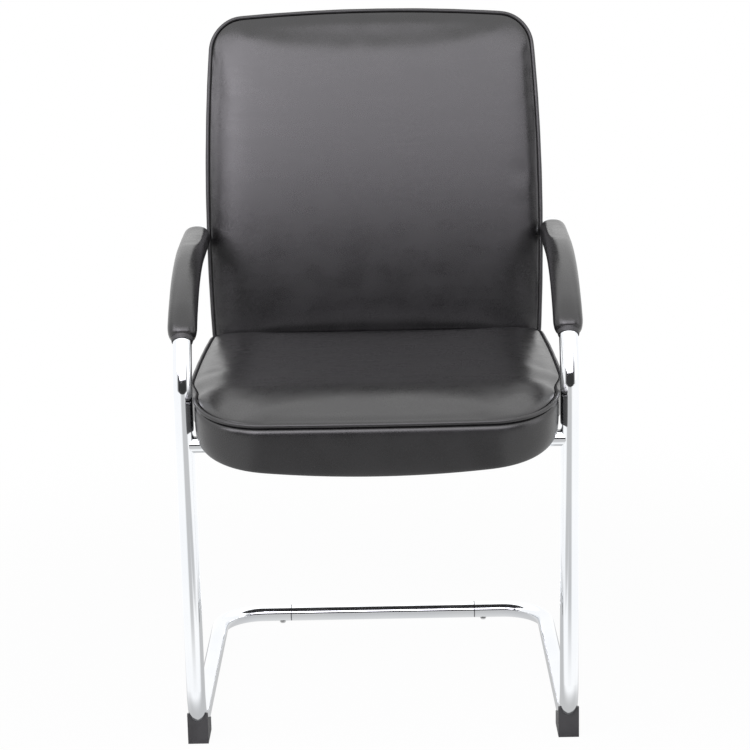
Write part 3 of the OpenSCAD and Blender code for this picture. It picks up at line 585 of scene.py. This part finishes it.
def stuff(piece, held, pressure, cap):
    """Runs cloth with pressure for some frames and keeps its result. A point's move d is
    shortened to cap * tanh(|d| / cap), so none moves further than the cap."""
    group = piece.vertex_groups.new(name="held")
    group.add(held.tolist(), 1.0, "REPLACE")
    cloth = piece.modifiers.new("stuffing", "CLOTH")
    cloth.settings.use_pressure = True
    cloth.settings.uniform_pressure_force = pressure
    cloth.settings.bending_stiffness = cover_stiffness
    cloth.settings.vertex_group_mass = "held"
    cloth.settings.effector_weights.gravity = 0
    for step in range(1, stuffing_frames + 1):
        bpy.context.scene.frame_set(step)
    evaluated = piece.evaluated_get(bpy.context.evaluated_depsgraph_get())
    before = np.empty(len(piece.data.vertices) * 3, np.float32)
    after = before.copy()
    piece.data.vertices.foreach_get("co", before)
    evaluated.data.vertices.foreach_get("co", after)
    piece.modifiers.remove(cloth)
    piece.vertex_groups.remove(group)
    bpy.context.scene.frame_set(1)
    move = (after - before).reshape(-1, 3)
    length = np.linalg.norm(move, axis=1, keepdims=True)
    kept = cap * np.tanh(length / cap) / np.maximum(length, least_length)
    piece.data.vertices.foreach_set("co", (before.reshape(-1, 3) + move * kept).ravel())
    piece.data.update()
    print(piece.name, "swelled by up to", round(float((length * kept).max()) * 1000, 1), "mm of",
          round(float(length.max()) * 1000, 1))


def smooth_over(piece):
    """Rounds the facets off with a subdivision surface, the same on screen and in a render."""
    rounding = piece.modifiers.new("rounding", "SUBSURF")
    rounding.levels = 1
    rounding.render_levels = 1


# %% [markdown]
# ## The seat
# Between the uprights the seat is narrow, and behind them it widens. Its front edge bows, and
# its front corners are wide arcs. The lower edge drops towards the front, where the cover
# rolls over the board's front edge. Its points could be drawn one by one, but a curve through
# them would wave. These are formulas of the place on the outline, so the edge stays one
# smooth line.

# %% Seat outline and heights
seat_overhang = 0.113
seat_rear = 0.385
seat_front_r = 0.098
seat_rear_r = 0.032
seat_side_gap = 0.0008
seat_bulge = 0.012
seat_taper = 0.007
seat_bow = 0.006
seat_hollow = 0.007
seat_wide_y = 0.075
seat_swell_y = 0.115
seat_half_w = frame_w / 2 - tube_r - (pipe_r - pipe_in) - seat_side_gap + seat_bulge
seat_mid_y = (seat_rear - seat_overhang) / 2
seat_side_y = -(seat_h - foot_z) * math.tan(upright_lean)


def seat_half(y):
    """Half of the seat's width: it narrows towards the uprights by a smooth step, and
    towards the rear corners by a square."""
    narrow = seat_half_w - seat_bulge * ease((seat_wide_y - y) / (seat_wide_y - seat_side_y))
    taper = seat_half_w - seat_taper * ((y - seat_swell_y) / (seat_rear - seat_swell_y)) ** 2
    return np.where(y > seat_swell_y, taper, narrow)


def seat_warp(p):
    """Bends the plain outline: the front edge bows forward in its middle, and the rear edge
    is hollow where the back swells into it."""
    x, y = p[:, 0], p[:, 1]
    across = (x / seat_half_w) ** 2
    bow = seat_bow * across * ease(-y / seat_overhang + 0.5)
    hollow = seat_hollow * (1 - across) * ease((y - seat_mid_y) / (seat_rear - seat_mid_y))
    return np.column_stack([x * seat_half(y) / seat_half_w,
                            y + np.where(y < seat_mid_y, bow, -hollow)])


# %% Heights of the seat's edges
seat_drop = 0.0145
front_ease = 0.9
hem_gap = 0.0003
hem_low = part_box("seat_dust_cover")[1].z + hem_gap
skirt_drop = 0.036
skirt_y = -0.014
skirt_rise = 0.33


def seat_top(p):
    """Height of the seat's piping: level, then down a smooth step towards the front."""
    return seat_h - seat_drop * ease(-p[..., 1] / seat_overhang * front_ease)


def seat_low(p):
    """Height of the lower edge: it falls forward of the uprights, less near the corners."""
    fall = np.sin(np.pi / 2 * np.clip((skirt_y - p[..., 1]) / (skirt_y + seat_overhang), 0, 1))
    return hem_low - skirt_drop * fall * (
        1 - skirt_rise * (p[..., 0] / (seat_half_w - seat_front_r / 2)) ** 2)


def seat_place(points):
    """Moves a point measured from the upright's foot to its place on the chair."""
    return points + [0, foot_y, 0]


print("seat", round(2000 * seat_half_w), "mm wide")

# %% Rows of a cushion's edge, from the underside up and over into the top
edge_rows = np.array([
    [0.0260, 0, 0, 0],
    [0.0110, 0, 0, 0],
    [0.0042, 0, 0.0006, 0],
    [0.0012, 0, 0.0032, 0.2],
    [0.0003, 0.25, 0, 0.8],
    [0.0, 0.5, 0, 1.0],
    [0.0, 0.78, 0, 0.95],
    [0.0006, 1, -0.0066, 0.65],
    [0.0022, 1, -0.0036, 0],
    [0.0042, 1, -0.0026, 0],
    [0.0045, 1, 0.0002, 0],
    [0.0047, 1, 0.0020, 0],
    [0.0062, 1, 0.0036, 0],
    [0.0090, 1, 0.0050, 0]])
rows_per_step = 3
edge_profile = smooth_run(edge_rows, rows_per_step)
held_to = 11 * rows_per_step


def held_points(rings, grid, rings_held):
    """The points that staples, the firm boxing and the seam in the groove keep still: the
    whole underside and the first rings of the wall."""
    return np.concatenate([grid.ravel(), rings[:rings_held].ravel()])


print("edge:", len(edge_profile), "rings, of which", held_to, "are held")

# %% Seat cushion
seat_steps = 60
seat_crown = 0.0095
wall_swell = 0.0026
seat_flat_l = 0.070
seat_outline = rounded_outline(seat_half_w, -seat_overhang, seat_rear, seat_front_r, seat_rear_r)
seat_ring = ring_of(seat_outline, seat_warp, seat_steps)


def seat_swell(p):
    """The boxing lies flat beside the uprights and swells elsewhere."""
    return wall_swell * (1 - ease(1 - np.abs(p[:, 1] - seat_side_y) / seat_flat_l))


seat, seat_rings, seat_grid = cushion(
    "seat_cushion", seat_ring, seat_steps, edge_profile, seat_low, seat_top, seat_crown,
    seat_swell, seat_place)
stuff(seat, held_points(seat_rings, seat_grid, held_to), pressure=3.0, cap=0.0028)
smooth_over(seat)
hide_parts("seat_cover")

# %% [markdown]
# ## Piping
# Piping is a cord in a strip of leather, sewn between the panel and the boxing. A bevelled
# curve could make it, but here it is a circle carried round the same ring as the cushion, so
# it can't stray from its seam. Its radius wanders a little along its length, which keeps it
# from looking like a machined ring.

# %% Piping
pipe_sides = 14
pipe_waves = ((0.025, 0.9), (0.02, 0.37))


def piping(name, ring, level, place):
    """A circle of radius r carried round a ring that lies a little inside the outline:
    each point is the ring's point plus r sin(a) outwards and r cos(a) up. The radius has two
    sine waves added, each a share of it and a turn for each step along the ring."""
    out = outward(ring)
    turn = np.linspace(0, 2 * np.pi, pipe_sides, endpoint=False)
    count = len(ring)
    wander = 1 + sum(share * np.sin(np.arange(count) * pace) for share, pace in pipe_waves)
    radius = (pipe_r * wander)[:, None]
    middle = ring - pipe_in * out
    across = middle[:, None] + out[:, None] * (radius * np.sin(turn))[..., None]
    height = level(middle)[:, None] + radius * np.cos(turn)
    flat = np.concatenate([across, height[..., None]], axis=2).reshape(-1, 3)
    index = np.arange(count * pipe_sides).reshape(count, pipe_sides)
    around = closed(np.concatenate([index, index[:1]]))
    return add_piece(name, place(flat), quads(around)[:, ::-1], piping_leather)


seat_cord = piping("seat_piping_cord", seat_ring, seat_top, seat_place)
smooth_over(seat_cord)
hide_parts("seat_piping")

# %% [markdown]
# ## The back
# Seen from the side the back is a wide arc that leans further with its height. It is worked
# out flat, like the seat, and `back_place` then bends it: across stays across, along runs up
# the arc, and ahead stands off it towards the sitter. A bend modifier could do the same for
# one piece, but a formula also bends the piping and the rear panel alike.

# %% Back outline and place
back_half_w = 0.247
back_wide_v = 0.215
back_taper = 0.012
back_low_taper = 0.006
back_l = 0.511
back_t = 0.062
back_low_r = 0.032
back_top_r = 0.044
back_top_fall = 0.011
back_r = 2.750
back_lean = math.radians(5)
back_z = seat_h - 0.036
back_room = 0.0055
curve_y = seat_rear + back_room + back_r * math.cos(back_lean)
curve_z = back_z - back_r * math.sin(back_lean)
hem_depth = 0.0511


def back_place(points):
    """Bends a flat point (across, along, ahead) onto the back's arc."""
    lean = back_lean + points[:, 1] / back_r
    reach = back_r + points[:, 2]
    return np.column_stack([points[:, 0], foot_y + curve_y - reach * np.cos(lean),
                            curve_z + reach * np.sin(lean)])


def back_warp(p):
    """Narrows the back towards its ends by a square, and lets its top edge fall a little
    towards the corners."""
    along = (p[:, 1] - back_l / 2) / (back_l / 2)
    above = back_taper * ((p[:, 1] - back_wide_v) / (back_l - back_wide_v)) ** 2
    below = back_low_taper * ((back_wide_v - p[:, 1]) / back_wide_v) ** 2
    width = back_half_w - np.where(p[:, 1] > back_wide_v, above, below)
    fall = back_top_fall * (p[:, 0] / back_half_w) ** 2 * ease(along)
    return np.column_stack([p[:, 0] * width / back_half_w, p[:, 1] - fall])


# %% Back cushion
back_steps = 60
back_crown = 0.0095
back_swell = 0.0015
back_outline = rounded_outline(back_half_w, 0, back_l, back_low_r, back_top_r)
back_ring = ring_of(back_outline, back_warp, back_steps)


def back_level(p):
    """The piping lies in one plane of the flat form."""
    return np.zeros(p.shape[:-1])


back, back_rings, back_grid = cushion(
    "back_cushion", back_ring, back_steps, edge_profile, lambda p: back_level(p) - hem_depth,
    back_level, back_crown, lambda p: np.full(len(p), back_swell), back_place)
stuff(back, held_points(back_rings, back_grid, held_to), pressure=3.0, cap=0.0024)
smooth_over(back)
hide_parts("back_cover")
back_cord = piping("back_piping_cord", back_ring, back_level, back_place)
smooth_over(back_cord)
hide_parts("back_piping")

# %% [markdown]
# ## The panel behind the back
# A padded panel hides the board and the bars' legs. It could be a plain plate, but on a real
# chair it is thinly padded leather. So it is the same cushion function turned round: measured
# from behind, its boxing is only a few millimetres high. Where the legs lie, its inner face
# steps back.

# %% Rear panel
panel_inset = 0.0015
panel_in = 0.0514
leg_out = 0.0537
leg_gap = 0.0004
leg_room = 0.003
bar_x = 0.120
bar_w = 0.040
leg_reach = 0.158
panel_crown = 0.0035
panel_swell = 0.0008
panel_held = 16
panel_rows = np.array([
    [0.0120, 0, 0, 0],
    [0.0060, 0, 0, 0],
    [0.0020, 0, 0.0006, 0],
    [0.0, 0.3, 0, 1.0],
    [0.0, 0.6, 0, 1.0],
    [0.0018, 1, -0.0012, 0],
    [0.0060, 1, 0.0006, 0]])


def panel_inner(p):
    """Depth of the inner face: two millimetres deeper where the bars' legs lie against it."""
    by_leg = np.abs(np.abs(p[..., 0]) - bar_x) < bar_w / 2 + leg_room
    return np.where(by_leg & (p[..., 1] < leg_reach), leg_out + leg_gap, panel_in)


def panel_outer(p):
    """Depth of the outer seam: the back's whole thickness."""
    return np.full(p.shape[:-1], back_t)


def panel_place(points):
    """Turns the flat form round, so that its depth points away from the sitter."""
    return back_place(points * [-1, 1, -1])


panel_ring = back_ring - outward(back_ring) * panel_inset
panel, panel_rings, panel_grid = cushion(
    "rear_panel", panel_ring, back_steps, smooth_run(panel_rows, rows_per_step), panel_inner,
    panel_outer, panel_crown, lambda p: np.full(len(p), panel_swell), panel_place)
stuff(panel, held_points(panel_rings, panel_grid, panel_held), pressure=3.0, cap=0.003)
smooth_over(panel)
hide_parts("back_rear_panel")

# %% [markdown]
# ## Arm pads
# Each arm pad is a padded sleeve drawn over the tube. The tube climbs, turns through a tight
# bend and then a wide one, and runs level to the back. A bevelled curve would give the outside
# alone. Here a rounded section is carried along that line and back again as the bore round the
# tube, so the sleeve is closed. Its seam lies on the inner underside, where the leather's
# edges meet.

# %% The arm's line
knee_r = 0.116
knee_slope = math.radians(25.7)
arm_bend_r = 0.430
arm_z = seat_h + 0.144
knee_turn = math.pi / 2 + upright_lean - knee_slope
knee_z = arm_z - arm_bend_r * (1 - math.cos(knee_slope)) - knee_r * (
    math.cos(knee_slope) - math.cos(math.pi / 2 + upright_lean))
knee_place = np.array([frame_w / 2, foot_y - (knee_z - foot_z) * math.tan(upright_lean), knee_z])
splay = math.radians(1.33792)
pad_rear = 0.400
pad_low = arm_z - 0.071
pad_start = math.asin((pad_low - knee_z) / knee_r)
knee_reach = knee_r * (math.sin(math.pi / 2 + upright_lean) - math.sin(knee_slope))
upright_l = (knee_z - foot_z) / math.cos(upright_lean)
pad_level_l = (pad_rear + upright_l * math.sin(upright_lean) - knee_reach
               - arm_bend_r * math.sin(knee_slope))
bend_l = [knee_r * (knee_turn - pad_start), arm_bend_r * knee_slope, pad_level_l]
pad_l = sum(bend_l)
print("arm pad", round(pad_l * 1000), "mm long")

# %% A point at a length along the arm
up_tube = np.array([0, -math.sin(upright_lean), math.cos(upright_lean)])
to_rear = (math.cos(splay) * np.array([0, math.cos(upright_lean), math.sin(upright_lean)])
           + math.sin(splay) * np.array([1, 0, 0]))
to_side = np.cross(to_rear, up_tube)


def arm_line(s):
    """Place and outward direction at a length s along the pad: an arc of the knee's radius,
    an arc of the wide radius, and a straight run. The turn is the length over the radius."""
    tight = pad_start + np.clip(s, None, bend_l[0]) / knee_r
    wide = np.clip(s - bend_l[0], 0, bend_l[1]) / arm_bend_r
    run = np.clip(s - bend_l[0] - bend_l[1], 0, None)
    turn = tight + wide
    rearwards = (knee_r * (1 - np.cos(tight))
                 + arm_bend_r * (math.cos(knee_turn) - np.cos(knee_turn + wide))
                 + run * np.sin(turn))
    upwards = (knee_r * np.sin(tight)
               + arm_bend_r * (np.sin(knee_turn + wide) - math.sin(knee_turn))
               + run * np.cos(turn))
    place = knee_place + rearwards[:, None] * to_rear + upwards[:, None] * up_tube
    away = -np.cos(turn)[:, None] * to_rear + np.sin(turn)[:, None] * up_tube
    return place, away


print("arm pad starts at", np.round(arm_line(np.array([0.0]))[0], 3).tolist())

# %% Sections of the arm pad
pad_w = 0.039
pad_t = 0.035
pad_lift = 0.0015
pad_tip_r = 0.0150
pad_round_l = 0.016
pad_sides = 96
squareness = 0.86
seam_turn = math.radians(222)
seam_depth = 0.0011
seam_w = 0.0019


def sleeve(s):
    """Rings of the sleeve: an ellipse-like section whose cosine and sine are raised to a
    power below one, which squares it a little. It shrinks to the tip's radius over the round
    length by a quarter circle at either end, and the seam is a narrow dip at its angle."""
    place, away = arm_line(s)
    turn = np.linspace(0, 2 * np.pi, pad_sides, endpoint=False)
    from_end = np.minimum(s, pad_l - s)
    share = np.sqrt(np.clip(1 - (1 - np.clip(from_end / pad_round_l, 0, 1)) ** 2, 0, 1))[:, None]
    half_w = pad_tip_r + (pad_w / 2 - pad_tip_r) * share
    half_t = pad_tip_r + (pad_t / 2 - pad_tip_r) * share
    gap = np.angle(np.exp(1j * (turn - seam_turn))) * pad_w / 2
    dip = 1 - seam_depth * np.exp(-(gap / seam_w) ** 2) / (pad_w / 2) * share
    across = half_w * np.sign(np.cos(turn)) * np.abs(np.cos(turn)) ** squareness * dip
    rise = half_t * np.sign(np.sin(turn)) * np.abs(np.sin(turn)) ** squareness * dip
    rise = rise + pad_lift * share
    return place[:, None] + across[..., None] * to_side + rise[..., None] * away[:, None]


def tube_rings(s, radius):
    """Rings of a round tube along the arm's line."""
    place, away = arm_line(s)
    turn = np.linspace(0, 2 * np.pi, pad_sides, endpoint=False)[None, :, None]
    return place[:, None] + radius * (np.cos(turn) * to_side + np.sin(turn) * away[:, None])


# %% Grid of the arm pad: out along the sleeve and back along the bore
pad_bore = 0.0127
pad_over = 0.0007
pad_rows = 150
end_rows = 14
bore_rows = 40
end_held = 4
s_round = pad_round_l * (1 - np.cos(np.linspace(0, np.pi / 2, end_rows)))
s_pad = np.concatenate([s_round[:-1], np.linspace(pad_round_l, pad_l - pad_round_l, pad_rows),
                        pad_l - s_round[-2::-1]])
s_pad = s_pad * (1 + 2 * pad_over / pad_l) - pad_over
s_bore = np.linspace(pad_l + pad_over, -pad_over, bore_rows)
pad_points = np.concatenate([sleeve(s_pad), tube_rings(s_bore, pad_bore)])
pad_index = np.arange(pad_points.shape[0] * pad_sides).reshape(-1, pad_sides)
pad_faces = quads(closed(np.concatenate([pad_index, pad_index[:1]])))
seam_column = int(round(seam_turn / (2 * math.pi) * pad_sides))
pad_held = np.concatenate([pad_index[len(s_pad):].ravel(), pad_index[:end_held].ravel(),
                           pad_index[len(s_pad) - end_held:len(s_pad)].ravel(),
                           pad_index[:, seam_column].ravel()])
print("arm pad grid", pad_index.shape)

# %% Both arm pads, the left one a mirror image
right_pad = add_piece("arm_sleeve_right", pad_points.reshape(-1, 3), pad_faces, cover_leather)
stuff(right_pad, pad_held, pressure=4.0, cap=0.0012)
settled = np.empty(len(right_pad.data.vertices) * 3, np.float32)
right_pad.data.vertices.foreach_get("co", settled)
left_pad = add_piece("arm_sleeve_left", settled.reshape(-1, 3) * [-1, 1, 1], pad_faces[:, ::-1],
                     cover_leather)
smooth_over(right_pad)
smooth_over(left_pad)
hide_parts("arm_pad_right")
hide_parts("arm_pad_left")

# %% [markdown]
# ## The studio
# The photograph has a pure white background. The chair could be cut out and laid on white,
# but then the chrome wouldn't mirror it. So the camera sees a white world, and a pale floor
# that is mostly white of its own, which leaves only a faint shadow under the glides. Mirrors
# see another room: white all round and brighter overhead, with a dark band at eye level
# behind the camera, and a floor that is greyer in front of the uprights and, as a painted
# shadow of the chair, under the chair. These draw the grey edges and dark streaks in the
# tubes, and large soft lamps give the leather its sheen.

# %% World
room_white = 1.10
room_dark = 0.04
ceiling_extra = 0.55
fill_light = 0.25

world = bpy.data.worlds.new("studio")
bpy.context.scene.world = world
room = Finish(world)
by_camera = room.rays("Is Camera Ray")
by_mirror = room.rays("Is Glossy Ray")
_, way_y, way_z = room.parts_of(room.node("ShaderNodeTexCoord", output="Generated"))
ahead = (0 - way_y).spread(0.35, 0.75)
level_band = 1 - abs(way_z).spread(0.26, 0.50)
ceiling = way_z.spread(0.45, 0.75)
seen_by_mirror = (room_white - ahead * level_band * (room_white - room_dark)
                  + ceiling * ceiling_extra)
unseen = by_mirror * seen_by_mirror + (1 - by_mirror) * fill_light
strength = by_camera + (1 - by_camera) * unseen
room.end(room.node("ShaderNodeBackground", None, {"Color": (1, 1, 1, 1), "Strength": strength}))
print("world: mirrors see", room_white, "and surfaces are lit with", fill_light)

# %% Floor
floor_half = 7.0
floor_rows = 3
side = np.linspace(-floor_half, floor_half, floor_rows)
floor_points = np.stack(np.meshgrid(side, side), axis=-1).reshape(-1, 2)
floor_mesh = bpy.data.meshes.new("floor")
floor_mesh.from_pydata(np.column_stack([floor_points, np.zeros(len(floor_points))]).tolist(), [],
                       quads(np.arange(floor_rows ** 2).reshape(floor_rows, floor_rows)).tolist())
floor = bpy.data.objects.new("floor", floor_mesh)
bpy.context.scene.collection.objects.link(floor)
print("floor", 2 * floor_half, "m wide")

# %% Floor finish
floor_colour = (0.86, 0.86, 0.86, 1)
least_own_white = 0.965
floor_mirrored = 1.10
grey_in_front = 0.48
# painted shadow: how much darker mirrors see the floor under the chair, standing for its shadow
painted_shadow_under_chair = 0.5
uprights_ahead = 0.2
least_ahead = 0.05

pale = new_finish("pale_floor")
direct = pale.rays("Is Camera Ray")
mirrored = pale.rays("Is Glossy Ray")
point = pale.node("ShaderNodeTexCoord", output="Object")
reach = pale.node("ShaderNodeVectorMath", {"operation": "LENGTH"}, {0: point}, output="Value")
floor_x, floor_y, _ = pale.parts_of(point)
own_white = reach.spread(0.5, 1.6, least_own_white, 1.0)
past_uprights = ((0 - floor_y) - uprights_ahead).most(least_ahead)
beside_upright = abs(abs(floor_x) - frame_w / 2) / past_uprights
in_front = past_uprights.spread(0.15, 0.6) * (1 - beside_upright.spread(0.2, 0.55))
# painted shadow of the chair on the floor, seen only by mirrors
chair_shadow_mask = (1 - abs(floor_x).spread(0.28, 0.5)) * (1 - abs(floor_y).spread(0.22, 0.34))
mirror_white = floor_mirrored - in_front * grey_in_front - chair_shadow_mask * painted_shadow_under_chair
lit = pale.node("ShaderNodeBsdfDiffuse", None, {"Color": floor_colour})
glow = pale.node("ShaderNodeEmission", None,
                 {"Color": (1, 1, 1, 1), "Strength": direct + (1 - direct) * mirror_white})
share_of_glow = direct * own_white + (1 - direct) * mirrored
pale.end(pale.node("ShaderNodeMixShader", None, {0: share_of_glow, 1: lit, 2: glow}))
floor_mesh.materials.append(pale.owner)

# %% Lamps
chair_middle = (0, 0, 0.7)
lamp_tint = (1.02, 0.98, 1.06)


def softbox(name, place, width, height, radiance):
    """A rectangular lamp turned to the chair, whose power is its radiance times its area
    times pi."""
    lamp = bpy.data.lights.new(name, "AREA")
    lamp.shape = "RECTANGLE"
    lamp.size = width
    lamp.size_y = height
    lamp.color = lamp_tint
    lamp.energy = radiance * width * height * math.pi
    box = bpy.data.objects.new(name, lamp)
    bpy.context.scene.collection.objects.link(box)
    box.location = place
    to_chair = Vector(chair_middle) - Vector(place)
    box.rotation_euler = to_chair.to_track_quat("-Z", "Y").to_euler()
    box.visible_camera = False
    print(name, round(lamp.energy), "W")


softbox("lamp_front", (0.2, -3.0, 2.25), 4.8, 2.2, 2.65)
softbox("lamp_corner", (-1.4, -2.85, 2.2), 1.4, 2.0, 2.6)
softbox("lamp_left", (-2.8, -1.9, 2.3), 1.4, 2.0, 3.6)
softbox("lamp_right", (3.0, -0.7, 1.5), 1.2, 2.2, 1.0)
